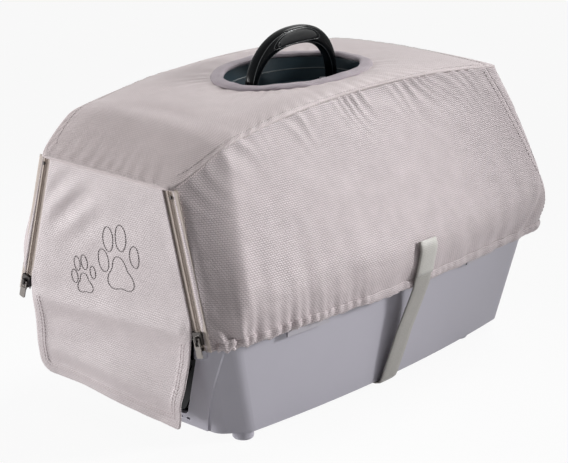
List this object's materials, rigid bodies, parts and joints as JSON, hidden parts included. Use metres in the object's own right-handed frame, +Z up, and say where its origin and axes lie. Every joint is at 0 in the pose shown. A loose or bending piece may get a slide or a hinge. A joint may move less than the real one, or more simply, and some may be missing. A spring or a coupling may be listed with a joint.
{
  "type": "pet transport box with fabric cover",
  "caption": "Moulded pet transport box with arched roof handle, lattice door behind a zipped front flap, and a fitted fabric cover held by a gathered hem and a strap.",
  "frame": {"origin": "on the floor plane under the middle of the box", "axes": "+Z up, the door end faces -Y, +Y along the box to its rear, +X to the right as seen from behind"},
  "size_m": [0.3434, 0.5316, 0.3545],
  "materials": {
    "base_plastic": "satin moulded polypropylene, light lilac grey",
    "shell_plastic": "satin moulded polypropylene, charcoal",
    "handle_plastic": "polished black",
    "grip_rubber": "matt black grip",
    "steel": "zinc plated",
    "door_plastic": "satin dark grey",
    "cover_fabric": "satin woven polyester, light taupe grey",
    "binding_fabric": "woven binding, mauve grey",
    "elastic_rubber": "woven elastic",
    "zip_tape": "woven tape, beige",
    "zip_coil": "moulded tan",
    "zip_metal": "dark bronze lacquer",
    "strap_webbing": "woven webbing, grey beige"
  },
  "bodies": {
    "box": {"lower_shell": "base_plastic", "shell_clips": "base_plastic", "upper_shell": "shell_plastic", "carry_handle": "handle_plastic", "grip_pads": "grip_rubber", "handle_screws": "steel", "door_hinge_pin": "steel", "cover_top_panel": "cover_fabric", "cover_right_panel": "cover_fabric", "cover_left_panel": "cover_fabric", "cover_rear_panel": "cover_fabric", "hem_casing": "cover_fabric", "handle_opening_binding": "binding_fabric", "hem_elastic": "elastic_rubber", "zip_tape_side_right": "zip_tape", "zip_tape_side_left": "zip_tape", "zip_coil_side_right": "zip_coil", "zip_coil_side_left": "zip_coil", "zip_stops": "zip_metal", "strap_right": "strap_webbing", "strap_left": "strap_webbing", "strap_under": "strap_webbing", "strap_tab_right": "strap_webbing", "strap_tab_left": "strap_webbing"},
    "door": {"door_leaf": "door_plastic"},
    "latch": {"latch_knob": "door_plastic", "latch_cam": "door_plastic"},
    "flap": {"front_flap": "cover_fabric", "zip_tape_flap_right": "zip_tape", "zip_tape_flap_left": "zip_tape", "zip_coil_flap_right": "zip_coil", "zip_coil_flap_left": "zip_coil"},
    "slider_right": {"zip_slider_right": "zip_metal"},
    "slider_left": {"zip_slider_left": "zip_metal"},
    "pull_right": {"zip_pull_right": "zip_metal"},
    "pull_left": {"zip_pull_left": "zip_metal"}
  },
  "joints": [
    {"name": "door_swing", "type": "hinge", "parent": "box", "child": "door", "pos_m": [0.1075, -0.2475, 0.136], "axis": [0, 0, 1], "range_deg": [0, 105]},
    {"name": "flap_lift", "type": "hinge", "parent": "box", "child": "flap", "pos_m": [0, -0.26005, 0.25879], "axis": [-1, 0, 0], "range_deg": [0, 221]},
    {"name": "latch_turn", "type": "hinge", "parent": "door", "child": "latch", "pos_m": [-0.0845, -0.2235, 0.148], "axis": [0, 1, 0], "range_deg": [0, 90]},
    {"name": "zip_slide_right", "type": "slide", "parent": "box", "child": "slider_right", "axis": [-0.2629, 0, 0.9648], "range_m": [0, 0.122]},
    {"name": "zip_slide_left", "type": "slide", "parent": "box", "child": "slider_left", "axis": [0.2629, 0, 0.9648], "range_m": [0, 0.122]},
    {"name": "pull_turn_right", "type": "hinge", "parent": "slider_right", "child": "pull_right", "pos_m": [0.11785, -0.26355, 0.12358], "axis": [-0.9648, 0, -0.2629], "range_deg": [0, 150]},
    {"name": "pull_turn_left", "type": "hinge", "parent": "slider_left", "child": "pull_left", "pos_m": [-0.11785, -0.26355, 0.12358], "axis": [-0.9648, 0, 0.2629], "range_deg": [0, 150]}
  ],
  "couplings": [
    {"joint": "flap_lift", "follows": "door_swing", "ratio": 2.1}
  ]
}
